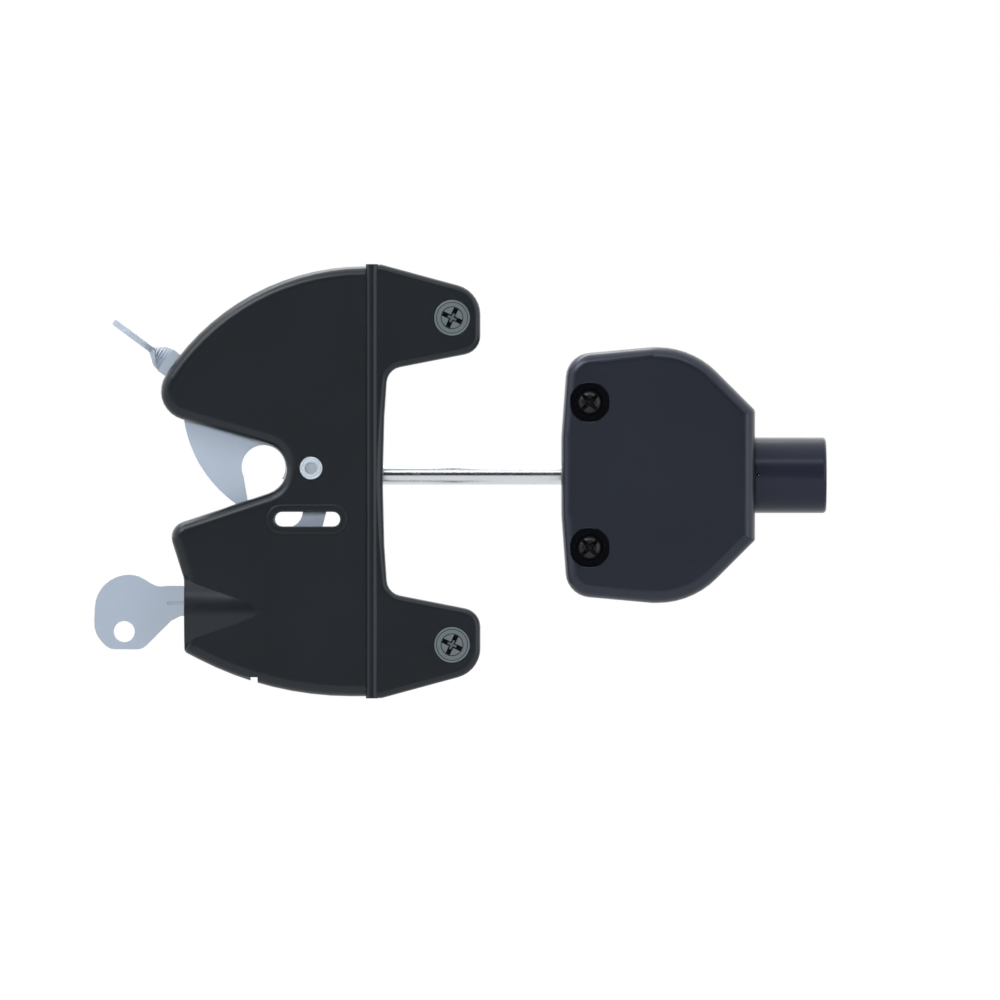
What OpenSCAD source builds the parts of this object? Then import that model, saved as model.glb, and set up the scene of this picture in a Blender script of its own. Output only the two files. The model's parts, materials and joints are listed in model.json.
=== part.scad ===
// Pushbutton gate latch: a latch body with a steel rotor and a key lock on one side, a push button in its
// housing on the other, and a rod between them that turns the rotor.
// X runs from the latch body to the button, Y runs away from the viewer, Z is up. The rod's axis is at Z = 0,
// and X = 0 and Y = 0 are the faces that the mounting bracket seats on. Millimetres.

/* [Reach] */
// Distance between the bracket's seating face and the housing's seating face
span_w = 89; // [70:1:130]
// Height of the casings above the rod's axis
body_top = 65.3; // [64:0.1:68]
// Depth of the casings below the rod's axis
body_bottom = 69.2; // [68:0.1:74]
// Reach of the casings from the seating face
body_reach = 58.7; // [58:0.1:60]
// Depth of the latch body, front to back
body_t = 22; // [22:0.5:26]
// How far the latch body stands in front of the seating plane
proud = 4; // [3:0.25:4.25]

/* [Casings] */
// Wall of the two casings
wall = 2.5; // [2:0.1:2.8]
// Radius of the casings' rounded edges
edge_r = 3.5; // [3:0.1:4]
// Radius of the top curve
crown_r = 73.5; // [70:0.5:74]
// Radius of the upper lobe
lobe_r = 9.2; // [8:0.2:10]
// Radius of the mouth's throat
throat_r = 8; // [7:0.25:8.5]
// Gap between the casings that the rotor passes through
rotor_gap = 4; // [3.6:0.1:4.6]
// Length of the see-through slot
slot_l = 20.7; // [18:0.1:22]
// Height of the see-through slot
slot_h = 4.6; // [4:0.1:5]
// Width of the raised border of the slot
slot_border = 2.4; // [1.5:0.1:2.6]
// How far the slot's border stands proud
slot_raise = 0.7; // [0.3:0.1:1]

/* [Mounting bracket] */
// Height of the mounting bracket
bracket_h = 135.7; // [135.5:0.1:146]
// Thickness of the bracket's legs
leg_t = 4.5; // [4:0.25:6]
// Reach of the legs from the seating face
leg_reach = 33.9; // [32:0.1:40]
// Width of the raised bead
bead_w = 3.8; // [3:0.2:4.4]
// Thickness of the bracket's spine
spine_t = 4; // [3.5:0.25:5]
// Distance between the two flange screws
flange_pitch = 102.2; // [100:0.1:106]
// Distance of the flange screws from the seating face
flange_screw_x = 25; // [22:0.5:26]
// Diameter of the flange screws' heads
flange_head_d = 11.3; // [10:0.1:12]
// Length of the flange screws
flange_screw_l = 32; // [25:1:60]

/* [Rotor] */
// Thickness of the rotor plate
rotor_t = 3; // [2.5:0.1:3.2]
// Diameter of the striker bar that the rotor holds
bar_d = 12; // [11:0.25:13]
// Radius of the rotor's hub
hub_r = 6.5; // [6:0.1:6.6]
// Diameter of the pivot pin
pivot_d = 5.9; // [5.5:0.1:6]
// Width of the rotor's arm
arm_w = 8.2; // [7:0.1:8.5]
// Outer diameter of the finger loop
loop_d = 15.5; // [14:0.25:18]
// Hole of the finger loop
loop_hole_d = 9.4; // [8.5:0.1:10]
// Thickness of the finger loop
loop_t = 1.8; // [1.5:0.1:2.2]
// Angle that the rotor turns through
lift = 45; // [42:1:45]

/* [Rod and button] */
// Diameter of the push rod
rod_d = 6; // [5:0.25:6.5]
// Diameter of the button
button_d = 23.8; // [21:0.2:24]
// Length of the button in front of its housing
button_out = 21.7; // [18:0.1:26]
// Edge radius of the button
button_edge_r = 1.2; // [0.8:0.1:2]

/* [Button housing] */
// Height of the housing
housing_h = 80; // [78:0.5:84]
// Width of the housing's box
box_w = 30.75; // [30:0.25:34]
// Width of the housing's flange
flange_w = 29.9; // [29:0.1:34]
// Thickness of the housing's flange
flange_t = 8; // [7:0.25:9]
// Wall of the housing
housing_wall = 3; // [2.5:0.1:3.2]
// Radius of the housing's rounded edges
housing_edge_r = 4; // [3:0.25:4.5]
// Distance between the two housing screws
housing_pitch = 45.4; // [40:0.2:46]
// Length of the housing screws
housing_screw_l = 38; // [30:1:60]

/* [Lock] */
// Diameter of the lock barrel
barrel_d = 19; // [18.5:0.1:19.5]
// Diameter of the lock plug
plug_d = 12; // [11.6:0.1:12.4]
// Thickness of the key
key_t = 2; // [1.8:0.1:2.2]
// Height of the key's blade
blade_h = 5.8; // [5.4:0.1:5.8]
// Rise of the lock bolt over a quarter turn of the key
bolt_rise = 4; // [3.8:0.1:4]
// Number of wafers in the plug
wafer_n = 5; // [3:1:6]

/* [Hidden] */
$fn = 48;

// Clearances: between parts that are pushed together, round a shaft, and between flat parts that slide
snug = 0.05;
running = 0.06;
slide_gap = 0.1;
// Largest distance of a chord from its arc, and the passes over a rounded edge
sag = 0.05;
edge_steps = 4;

// Planes of the latch body
y_front = -proud;
y_back = y_front + body_t;
y_mid = (y_front + y_back) / 2;
rotor_front = y_mid - rotor_t / 2;
rotor_back = y_mid + rotor_t / 2;
inner_front = y_front + wall;
inner_back = y_back - wall;
rod_y = y_mid + 4;
bracket_mid = (body_top - body_bottom) / 2;

// Places: the rotor's pivot, the striker bar's seat beside it, the slot and the lock's axis
pivot = [-19.06, 2.19];
seat = pivot + [-15, 0.3];
slot_at = [-20.3, -13.8];
lock_z = -42.5;
lock_face = -body_reach + 0.5;
lock_end = -33.4;
// Travel of the button, the rod and the slide over the rotor's lift
rod_stroke = 7;

// How far the corner that the bottom curve rounds lies in from the casings' left face
keel_in = 26.7;
// Outlines are lists of [x, z, corner radius], run anticlockwise as the viewer sees them
casing_right = 4;
casing_outline = [[casing_right, body_top, 0], [-42.3, body_top, crown_r], [-71.4, 20.9, lobe_r],
    [-8, 2.5, throat_r], [-64, -16.2, 5], [-body_reach, -33, 8], [-body_reach, -55.3, 1.5],
    [-body_reach + keel_in, -body_bottom, 104], [casing_right, -body_bottom, 0]];
casing_edge = -bead_w / 2 - snug;

function unit(v) = v / norm(v);
function left(v) = [-v[1], v[0]];
function cross2(u, v) = u[0] * v[1] - u[1] * v[0];

// Points of an arc of radius r that rounds the corner at b, on the way from a to c
function corner(a, b, c, r, n) = let (u = unit(a - b), v = unit(c - b), half = acos(u * v) / 2,
        p = b + u * r / tan(half), m = b + unit(u + v) * r / sin(half),
        s = atan2(p[1] - m[1], p[0] - m[0]), sweep = sign(cross2(-u, v)) * (180 - 2 * half))
    [for (i = [0:n]) m + r * [cos(s + sweep * i / n), sin(s + sweep * i / n)]];

// Chords that keep an arc of radius r and the given sweep within the sag
function chords(r, sweep) = max(2, ceil(sweep / (2 * acos(1 - sag / r))));

// The points of an outline drawn inwards by d, always the same number of them
function points(v, d = 0) = let (n = len(v), p = [for (q = v) [q[0], q[1]]],
        shift = [for (i = [0:n - 1]) let (j = left(unit(p[i] - p[(i + n - 1) % n])),
            k = left(unit(p[(i + 1) % n] - p[i]))) p[i] + d * (j + k) / (1 + j * k)])
    [for (i = [0:n - 1]) let (h = (i + n - 1) % n, k = (i + 1) % n, a = p[i] - p[h], b = p[k] - p[i],
            sweep = acos(unit(a) * unit(b)), r = v[i][2], in_r = cross2(a, b) > 0 ? max(r - d, 0.15) : r + d)
        each (r > 0 ? corner(shift[h], shift[i], shift[k], in_r, chords(r, sweep)) : [shift[i]])];

// A closed band: every list of points is one ring, and the last ring joins the first
module band(rings) {
    n = len(rings[0]);
    m = len(rings);
    polyhedron(points = [for (r = rings) each r],
        faces = [for (i = [0:m - 1], j = [0:n - 1]) let (k = (i + 1) % m, l = (j + 1) % n)
            each [[i * n + j, k * n + l, i * n + l], [i * n + j, k * n + j, k * n + l]]]);
}

// A tube of radius r through the points, six-sided, with flat ends; up is a direction it never runs in
module tube(path, r, up, sides = 6) {
    n = len(path);
    function along(i) = unit(path[min(i + 1, n - 1)] - path[max(i - 1, 0)]);
    function ring(i) = let (t = along(i), u = unit(cross(t, up)), w = cross(t, u))
        [for (a = [0:sides - 1]) path[i] + r * (cos(360 * a / sides) * u + sin(360 * a / sides) * w)];
    rings = [for (i = [0:n - 1]) ring(i)];
    polyhedron(points = [for (q = rings) each q],
        faces = concat([for (a = [1:sides - 2]) [0, a, a + 1]],
            [for (a = [1:sides - 2]) [(n - 1) * sides, (n - 1) * sides + a + 1, (n - 1) * sides + a]],
            [for (i = [0:n - 2], a = [0:sides - 1]) let (b = (a + 1) % sides)
                each [[i * sides + a, (i + 1) * sides + a, (i + 1) * sides + b],
                      [i * sides + a, (i + 1) * sides + b, i * sides + b]]]));
}
// The least gap of such a tube to itself, over points that are half a turn or more apart
function least_gap(path, r, half_turn) = min([for (i = [0:len(path) - 1 - half_turn],
    j = [i + half_turn:len(path) - 1]) norm(path[i] - path[j])]) - 2 * r;

// Flat shapes in the XZ plane, from one Y to another, and round bars along Y and X
module plate(pts, y0, y1) translate([0, y1, 0]) rotate([90, 0, 0]) linear_extrude(y1 - y0) polygon(pts);
module bar_y(p, r, y0, y1) translate([p[0], y0, p[1]]) rotate([-90, 0, 0]) cylinder(r = r, h = y1 - y0);
module bar_x(p, r, x0, x1) translate([x0, p[0], p[1]]) rotate([0, 90, 0]) cylinder(r = r, h = x1 - x0);
// A flat shape in the YZ plane, from one X to another
module plate_x(pts, x0, x1) translate([x0, 0, 0]) rotate([90, 0, 90]) linear_extrude(x1 - x0) polygon(pts);
module block(lo, hi) translate(lo) cube(hi - lo);

// A plate from y0 to y1 whose edge at y1 is rounded to radius r
module rounded_plate(outline, y0, y1, r) {
    way = sign(y1 - y0);
    steps = [for (i = [0:edge_steps]) let (a = 90 * i / edge_steps)
        [r * (1 - cos(a)), y1 - way * r * (1 - sin(a))]];
    profile = concat([[0, y0]], steps, [[r + 1, y1], [r + 1, y0]]);
    band([for (q = way < 0 ? profile : [for (i = [len(profile) - 1:-1:0]) profile[i]])
        [for (p = points(outline, q[0])) [p[0], q[1], p[1]]]]);
    plate(points(outline, r + 0.5), min(y0, y1), max(y0, y1));
}

// A screw along Z: head up to z = 0, shank below, and a cross recess turned by turn. Where it has a neck,
// the shank is thinner down to that depth, and the thread starts there.
module screw(d, l, head_d, head_h, sunk, turn = 0, tip = 0, neck = 0) {
    root = sunk ? 0.5 : 0;
    neck_d = neck > 0 ? d - 0.6 : d;
    difference() {
        union() {
            if (sunk) translate([0, 0, -head_h]) cylinder(d1 = neck_d, d2 = head_d, h = head_h);
            else rotate_extrude() polygon([[0, 0], [head_d * 0.25, 0], [head_d * 0.42, -head_h * 0.25],
                [head_d / 2, -head_h * 0.65], [head_d / 2, -head_h], [0, -head_h]]);
            if (neck > 0) translate([0, 0, -neck - 0.5]) cylinder(d = neck_d, h = neck + 0.5 - head_h + root);
            translate([0, 0, tip - l]) cylinder(d = d, h = l - tip - (neck > 0 ? neck : head_h - root));
            if (tip > 0) translate([0, 0, -l]) cylinder(d1 = d * 0.12, d2 = d, h = tip + 0.01);
        }
        for (a = [turn, turn + 90]) rotate(a)
            cube([head_d * 0.5, head_d * 0.12, head_h * 0.9], center = true);
    }
}
// The same screw with its head facing the viewer, away from the viewer, or along X
module facing_front(x, y, z) translate([x, y, z]) rotate([90, 0, 0]) children();
module facing_back(x, y, z) translate([x, y, z]) rotate([-90, 0, 0]) children();
module facing_right(x, y, z) translate([x, y, z]) rotate([0, 90, 0]) children();
module facing_left(x, y, z) translate([x, y, z]) rotate([0, -90, 0]) children();

// Screws that hold the casings together, and those that hold them to the bracket
casing_screw_at = [[-8, 53], [-8, 26], [-8, -28], [-12, -60], [-50, -22]];
casing_screw_d = 3;
casing_screw_l = 14;
casing_head = [5.6, 2];
boss_r = 3.3;
bracket_screw_z = [38, -45];
bracket_screw_y = [inner_front + 3, inner_back - 3];
bracket_screw_d = 3;
bracket_screw_l = 11;
bracket_head = [5.6, 1.6];

// Lock: the bulge round it, and the solid part of the casings that carries its barrel
bulge_r = body_t / 2;
bulge_slope = 0.36;
bulge_tip = -31.7;
lock_block_end = -40;

// The bulge's outline along the lock's axis, straight-sided where it leaves the casing's face
module lock_bulge() {
    d_end = -bulge_tip - body_reach;
    intersection() {
        translate([bulge_tip, y_mid, lock_z]) rotate([0, -90, 0]) rotate_extrude()
            polygon(concat([[0, -2], [bulge_r - 0.15, -2]],
                [for (i = [0:6]) let (d = -d_end * i / 6)
                    [sqrt(pow(bulge_r, 2) + pow(bulge_slope * d, 2)) + 0.01, d]],
                [[0, -d_end]]));
        plate(points(casing_outline, 0.02), y_front - 6, y_mid);
    }
}

// Part of a ring round the pivot, from radius r out past the casings, between two angles
function sector(r, from, to) = let (step = (to - from) / 8, out = 80)
    concat([pivot + r * [cos(from), sin(from)]],
        [for (i = [0:8]) pivot + out * [cos(from + step * i), sin(from + step * i)]],
        [pivot + r * [cos(to), sin(to)]]);

// Where the rotor passes between the casings: the mouth's walls and the arm's sweep through the top, which
// is wider at its end, where the arm's twist comes down into the wall
mouth_open = wall + 0.3;
arm_from = 149.5;
arm_to = arm_from - lift - 12;
twist_from = arm_from - 16;
twist_gap = 7.8;
module rotor_way() {
    y0 = y_mid - rotor_gap / 2;
    plate(points([[-61.5, 21.2, 0], [-61.5, -18.5, 0], [-8, 2.5, 0]], -mouth_open), y0, y_mid + 1);
    plate(sector(48, arm_from, arm_to), y0, y_mid + 1);
    plate(sector(55, twist_from, arm_to), y_mid - twist_gap / 2, y_mid + 1);
}

// One casing, drawn as the front one: from the viewer's face to the middle of the body
module casing_shell() {
    slot = [for (s = [[1, 1], [-1, 1], [-1, -1], [1, -1]])
        [slot_at[0] + s[0] * slot_l / 2, slot_at[1] + s[1] * slot_h / 2, slot_h / 2 - 0.05]];
    difference() {
        union() {
            rounded_plate(casing_outline, y_mid, y_front, edge_r);
            lock_bulge();
            plate(points(slot, -slot_border), y_front - slot_raise, y_front + 1);
        }
        difference() {
            plate(points(casing_outline, wall), inner_front, y_mid + 1);
            block([-80, y_front, lock_z - 12], [lock_block_end, y_mid, lock_z + 11.5]);
            for (p = casing_screw_at) bar_y(p, boss_r, inner_front - 1, y_mid + 1);
            for (z = bracket_screw_z)
                block([-12.3, inner_front - 1, z - 3.2], [-spine_t - snug, inner_front + 6, z + 3.2]);
            // the bolt's guide, above the reach of its yoke
            block([-36, inner_front - 1, yoke_top + bolt_rise + 0.4], [-25, y_mid + 1, -27]);
            bar_y(pivot, spring_boss_r, inner_front - 1, rotor_front - 2.6);
        }
        plate(points(slot), y_front - 2, y_mid + 1);
        rotor_way();
        bar_x([y_mid, lock_z], barrel_d / 2 + snug, -80, lock_block_end + 1);
        block([-32.8, y_mid - rotor_t / 2 - 0.15, -40], [-28.4, y_mid + 1, -20]);
        block([casing_edge, y_front - 10, -90], [20, y_mid + 10, 90]);
        block([-38.1, y_front - 1, -body_bottom], [-35.8, y_mid + 1, -body_bottom + 6]);
        bar_y(pivot, pivot_d / 2 + snug, y_front - 1, y_mid);
        bar_y(pivot, pivot_head_d / 2 + 0.3, y_front - 1, y_front + pivot_head_h);
        for (z = bracket_screw_z) bar_x([inner_front + 3, z], bracket_screw_d / 2 + snug, -12, 0);
    }
}
pivot_head_d = 7.1;
pivot_head_h = 1.3;

module front_casing() color([0.13, 0.15, 0.16]) {
    difference() {
        union() {
            casing_shell();
            bar_y(peg_at, peg_r, inner_front - 0.5, rotor_front - 0.6);
        }
        for (p = casing_screw_at) bar_y(p, casing_screw_d / 2 + snug, y_front + 3, y_mid + 1);
        // room for the rotor's spring in the throat's wall
        difference() {
            bar_y(pivot, coil_r + wire_r + 0.6, inner_front, y_mid + 1);
            bar_y(pivot, spring_boss_r, inner_front - 1, y_mid + 2);
        }
    }
}

// The slide's guide: a pad behind the slide, with a rail below it, one above its pad, and room for the rod
slide_z = [-9.9, 3.6];
slide_y = [y_mid + 2, y_mid + 5];
module slide_guide() {
    guide_left = pad_left - rod_stroke;
    difference() {
        union() {
            block([-22.5, slide_y[1] + slide_gap, -11.4], [-spine_t - 0.2, inner_back + 1, -4.5]);
            block([guide_left, slide_y[1] + slide_gap, -5], [-spine_t - 0.2, inner_back + 1, 5.1]);
            block([-22.5, slide_y[0] + 0.2, -11.4], [-spine_t - 0.2, inner_back + 1, slide_z[0] - slide_gap]);
            block([guide_left, slide_y[0] + 0.2, slide_z[1] + slide_gap], [-spine_t - 0.2, inner_back + 1, 5.1]);
        }
        bar_x([rod_y, 0], rod_d / 2 + 0.3, rod_left - rod_stroke - 0.5, 0);
    }
}

module rear_casing() color([0.13, 0.15, 0.16]) {
    difference() {
        union() {
            translate([0, 2 * y_mid, 0]) mirror([0, 1, 0]) casing_shell();
            difference() {
                slide_guide();
                bar_y(pivot, pivot_d / 2 + snug, y_mid, y_back + 1);
            }
            difference() {
                bar_y(pivot, spring_boss_r, rotor_back + 0.6, inner_back + 1);
                bar_y(pivot, pivot_d / 2 + snug, y_mid, y_back + 1);
            }
        }
        for (p = casing_screw_at) {
            bar_y(p, casing_screw_d / 2 + 0.15, y_mid - 1, y_back + 1);
            bar_y(p, casing_head[0] / 2 + 0.2, y_back - casing_head[1] - 0.4, y_back + 1);
        }
    }
}

module casing_screws() color([0.2, 0.2, 0.21]) for (p = casing_screw_at)
    facing_back(p[0], y_back - 0.4, p[1]) screw(casing_screw_d, casing_screw_l, casing_head[0],
        casing_head[1], false, 20);

module bracket_screws() color([0.7, 0.7, 0.72]) for (y = bracket_screw_y, z = bracket_screw_z)
    facing_right(-0.05, y, z) screw(bracket_screw_d, bracket_screw_l, bracket_head[0], bracket_head[1],
        true, 30);

// Outline of the bracket's flange about its middle height, upper half
module mounting_bracket() color([0.13, 0.15, 0.16]) {
    half = bracket_h / 2;
    upper = [[4.9, 34.9, 5], [leg_reach, 40.6, 6], [leg_reach, 59.4, 9.5], [3, half - 0.05, 0],
        [-8, half - 0.05, 0]];
    flange = concat([[3.4, 0, 0], [3.9, 20, 0]], upper,
        [for (i = [len(upper) - 1:-1:0]) [upper[i][0], -upper[i][1], upper[i][2]]], [[3.9, -20, 0]]);
    placed = [for (p = flange) [p[0], p[1] + bracket_mid, p[2]]];
    difference() {
        union() {
            intersection() {
                rounded_plate(placed, 0, -leg_t, 2);
                block([0, -leg_t - 1, -90], [leg_reach + 1, 0, 90]);
            }
            // the raised bead, half round
            translate([0, 0, bracket_mid - half]) linear_extrude(bracket_h)
                polygon(concat([[bead_w / 2, -1], [-bead_w / 2, -1]],
                    [for (i = [0:10]) let (a = 180 + 18 * i) [0, -leg_t + 1.2] + bead_w / 2 * [cos(a), sin(a)]]));
            // the rim that closes the casings
            plate_x(points([[-leg_t + 0.5, bracket_mid - half, 0], [y_back + 0.3, bracket_mid - half, 3],
                [y_back + 0.3, bracket_mid + half, 3], [-leg_t + 0.5, bracket_mid + half, 0]]), -bead_w / 2, 0);
            // the tongue inside the casings
            block([-spine_t, inner_front + snug, -body_bottom + wall + 0.3],
                [-1, inner_back - snug, body_top - wall - 0.3]);
        }
        bar_x([rod_y, 0], rod_d / 2 + 1, -20, 20);
        for (z = [-1, 1]) facing_front(flange_screw_x, -leg_t, bracket_mid + z * flange_pitch / 2) {
            translate([0, 0, -20]) cylinder(d = flange_screw_d + 0.4, h = 30);
            translate([0, 0, -flange_head_h]) cylinder(d1 = flange_screw_d + 0.4, d2 = flange_head_d + 0.4,
                h = flange_head_h + 0.001);
        }
        for (y = bracket_screw_y, z = bracket_screw_z) facing_right(0, y, z) {
            translate([0, 0, -20]) cylinder(d = bracket_screw_d + 0.3, h = 30);
            translate([0, 0, -bracket_head[1]]) cylinder(d1 = bracket_screw_d + 0.3,
                d2 = bracket_head[0] + 0.3, h = bracket_head[1] + 0.001);
        }
    }
}
flange_screw_d = 5;
flange_head_h = 3.2;
screw_tip = 7;

module flange_screws() color([0.12, 0.13, 0.14]) for (z = [-1, 1])
    facing_front(flange_screw_x, -leg_t - 0.1, bracket_mid + z * flange_pitch / 2)
        screw(flange_screw_d, flange_screw_l, flange_head_d, flange_head_h, true, 19, screw_tip, leg_t + 0.1);

// Tubular rivet with a rolled head at each end
module pivot_pin() color([0.75, 0.77, 0.8]) difference() {
    union() {
        bar_y(pivot, pivot_d / 2, y_front + 0.2, y_back - 0.2);
        bar_y(pivot, pivot_head_d / 2, y_front + 0.2, y_front + pivot_head_h - 0.03);
        bar_y(pivot, pivot_head_d / 2, y_back - pivot_head_h + 0.03, y_back - 0.2);
    }
    bar_y(pivot, 1.9, y_front - 1, y_front + 5);
    translate([pivot[0], y_front + 0.2, pivot[1]]) rotate([90, 0, 0]) rotate_extrude()
        polygon([[2.5, 1], [2.5, -0.35], [3, -0.35], [3, 1]]);
}

// Rotor, drawn about its pivot: the hook, the arm with its finger loop, and the tail that the slide pushes
arm_a = 36.5;
arm_dir = [-cos(arm_a), sin(arm_a)];
arm_side = [sin(arm_a), cos(arm_a)];
arm_out = 57;
twist_end = 63.2;
bush_r = 4.4;
back_at = [-0.75, 21.1];
back_r = 39.6;
hook_region = [[4.5, 4.2], 38 * arm_dir + 6 * arm_side, 44 * arm_dir + arm_w / 2 * arm_side,
    46.6 * arm_dir - arm_w / 2 * arm_side, [-46, 15], [-38, -12], [-27, -18], [-19.1, -15.5], [-20.1, -9.5],
    [-21.8, 0.3], [-15, 0.3], [-9.2, -3.4], [-3.5, -5.2]];
// the face that the slide pushes lies 4.1 mm beside a line that leans 5 degrees
face_off = 4.1;
face_lean = 5;
face_end = 12.1;
function face_at(t) = t * [sin(face_lean), -cos(face_lean)] + face_off * [cos(face_lean), sin(face_lean)];
tail_outline = [[2.8, -20.9, 2], [face_at(face_end)[0], face_at(face_end)[1], 0.6],
    [face_at(4)[0], face_at(4)[1], 0], [0, 0, 0], [-3.4, -4, 0], [-2.7, -9, 0], [-2.7, -16.6, 5],
    [-9, -19.9, 0.5]];

module rotor() color([0.68, 0.74, 0.8]) translate([pivot[0], 0, pivot[1]]) {
    difference() {
        union() {
            intersection() {
                bar_y(back_at, back_r, rotor_front, rotor_back);
                plate(hook_region, rotor_front, rotor_back);
            }
            bar_y([0, 0], hub_r, rotor_front, rotor_back);
            plate(points(tail_outline), rotor_front, rotor_back);
            plate([30 * arm_dir - arm_w / 2 * arm_side, 30 * arm_dir + arm_w / 2 * arm_side,
                arm_out * arm_dir + arm_w / 2 * arm_side, arm_out * arm_dir - arm_w / 2 * arm_side],
                rotor_front, rotor_back);
            arm_twist();
            finger_loop();
        }
        bar_y(seat - pivot, bar_d / 2 + 0.9, rotor_front - 1, rotor_back + 1);
        bar_y([0, 0], bush_r, rotor_front - 1, rotor_back + 1);
        bar_y(hook_at, wire_r + 0.25, rotor_front - 1, rotor_back + 1);
    }
}

// The strap turns a quarter turn about its own length, from the plate to the loop
loop_roll = 90;
module arm_twist() {
    steps = 8;
    start = arm_out - 1;
    band_pts = [for (i = [0:steps]) let (f = i / steps, s = start + f * (twist_end - start),
            a = loop_roll * (3 * f * f - 2 * f * f * f), w = (arm_w * (1 - f) + 5.4 * f) / 2 - 0.1,
            t = (rotor_t * (1 - f) + loop_t * f) / 2 - 0.1,
            side = [arm_side[0] * cos(a), sin(a), arm_side[1] * cos(a)],
            flat = [-arm_side[0] * sin(a), cos(a), -arm_side[1] * sin(a)],
            c = [s * arm_dir[0], y_mid, s * arm_dir[1]])
        [c - w * side - t * flat, c + w * side - t * flat, c + w * side + t * flat, c - w * side + t * flat]];
    polyhedron(points = [for (q = band_pts) each q],
        faces = concat([[0, 1, 2], [0, 2, 3]],
            [[4 * steps, 4 * steps + 2, 4 * steps + 1], [4 * steps, 4 * steps + 3, 4 * steps + 2]],
            [for (i = [0:steps - 1], j = [0:3]) let (k = (j + 1) % 4)
                each [[4 * i + j, 4 * i + 4 + j, 4 * i + 4 + k], [4 * i + j, 4 * i + 4 + k, 4 * i + k]]]));
}
module finger_loop() {
    c = (twist_end + loop_d / 2 - 1.6) * arm_dir;
    translate([c[0], y_mid, c[1]]) rotate([0, arm_a, 0]) rotate([90 - loop_roll, 0, 0]) difference() {
        cylinder(d = loop_d, h = loop_t, center = true);
        cylinder(d = loop_hole_d, h = loop_t + 2, center = true);
    }
}

module rotor_bush() color([0.75, 0.65, 0.4]) difference() {
    union() {
        bar_y(pivot, spring_boss_r - 0.1, rotor_front - 2.4, rotor_back);
        bar_y(pivot, bush_r - 0.02, rotor_front + 0.02, rotor_back + 0.5);
        bar_y(pivot, bush_r + 1, rotor_back + 0.02, rotor_back + 0.5);
    }
    bar_y(pivot, pivot_d / 2 + running, y_front, y_back);
}

// Torsion spring round the casing's boss: one leg on the casing's peg, the other hooked in the rotor.
// The coil ends where a line to the hook touches it.
wire_r = 0.55;
coil_r = 5.2;
coil_pitch = 1.55;
spring_boss_r = 4.2;
hook_at = [-5, 8.2];
peg_r = 1.5;
peg_at = [pivot[0] + coil_r + wire_r + 0.15 + peg_r, 20];
coil_turns = 4 - (atan2(hook_at[1], hook_at[0]) + acos(coil_r / norm(hook_at))) / 360;
spring_y0 = inner_front + wire_r + 0.15;
function coil_at(turn) = [pivot[0] + coil_r * cos(-360 * turn), spring_y0 + coil_pitch * turn,
    pivot[1] + coil_r * sin(-360 * turn)];
rotor_spring_path = let (end = coil_at(coil_turns),
        hook = [pivot[0] + hook_at[0], end[1], pivot[1] + hook_at[1]])
    concat([[pivot[0] + coil_r, spring_y0, peg_at[1] + 3], [pivot[0] + coil_r, spring_y0, pivot[1] + 2]],
        [for (i = [0:28]) coil_at(coil_turns * i / 28)], [hook + 0.25 * (end - hook) / norm(end - hook) * 4,
        hook + [0, 0.3, 0], hook + [0, 1.2, 0], hook + [0, 3.2, 0]]);
module rotor_spring() color([0.8, 0.81, 0.83])
    tube(rotor_spring_path, wire_r, [0.14, 1, -0.27]);
echo(rotor_spring_least_gap = least_gap(rotor_spring_path, wire_r, 5));

// Slide that the rod pushes: a pad on the rod's axis, and an arm whose nose turns the rotor
nose_r = 2;
nose_at = pivot + [7.07, -9.5];
pad_left = -7.5;
module release_slide() color([0.9, 0.9, 0.88]) {
    right = -spine_t - 0.25;
    outline = [[right, slide_z[0], 0.6], [right, slide_z[1], 0.6], [pad_left, slide_z[1], 0.8],
        [pad_left, -5.3, 1.5], [nose_at[0] - 2.3, -5.3, 0.8], [nose_at[0] - 2.3, slide_z[0], 0.8]];
    plate(points(outline), slide_y[0], slide_y[1]);
    bar_y(nose_at, nose_r, rotor_front + 0.1, slide_y[0] + 1);
}

// Push rod, from the slide's pad to the button's bore
rod_left = -spine_t - 0.15;
rod_in = 17;
module push_rod() color([0.72, 0.74, 0.76])
    bar_x([rod_y, 0], rod_d / 2, rod_left, button_back + rod_in);

// Button: its shank slides in the bush, a ring in its groove stops it, and the spring sits in its back
housing_right = span_w + box_w;
button_end = housing_right + button_out + 0.8;
button_back = housing_right - 11.5;
button_groove = housing_right - 9.2;
module push_button() color([0.1, 0.11, 0.13]) difference() {
    translate([0, rod_y, 0]) rotate([0, 90, 0]) rotate_extrude()
        polygon(concat([[0, button_back], [button_d / 2 - 0.5, button_back], [button_d / 2, button_back + 0.5]],
            [for (i = [0:6]) let (a = 15 * i) [button_d / 2 - button_edge_r * (1 - cos(a)),
                button_end - button_edge_r * (1 - sin(a))]], [[0, button_end]]));
    bar_x([rod_y, 0], rod_d / 2 + 0.03, button_back - 1, button_back + rod_in + 0.2);
    bar_x([rod_y, 0], 9, button_back - 1, button_back + 4);
    difference() {
        bar_x([rod_y, 0], button_d, button_groove, button_groove + 1.3);
        bar_x([rod_y, 0], button_d / 2 - 1.2, button_groove - 1, button_groove + 3);
    }
    translate([button_back + 6.4, rod_y, 0]) cylinder(r = 2.03, h = 20);
}

module button_retainer() color([0.7, 0.7, 0.72]) difference() {
    bar_x([rod_y, 0], button_d / 2 + 1.6, button_groove + 0.05, button_groove + 1.25);
    bar_x([rod_y, 0], button_d / 2 - 1.15, button_groove - 1, button_groove + 3);
    block([button_groove - 1, rod_y - 3, -20], [button_groove + 3, rod_y + 3, 0]);
}

module rod_set_screw() color([0.3, 0.3, 0.32]) translate([button_back + 6.4, rod_y, 0]) difference() {
    translate([0, 0, rod_d / 2 + 0.03]) cylinder(r = 2, h = 5);
    translate([0, 0, rod_d / 2 + 3]) cylinder(r = 1.1, h = 9, $fn = 6);
}

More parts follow.
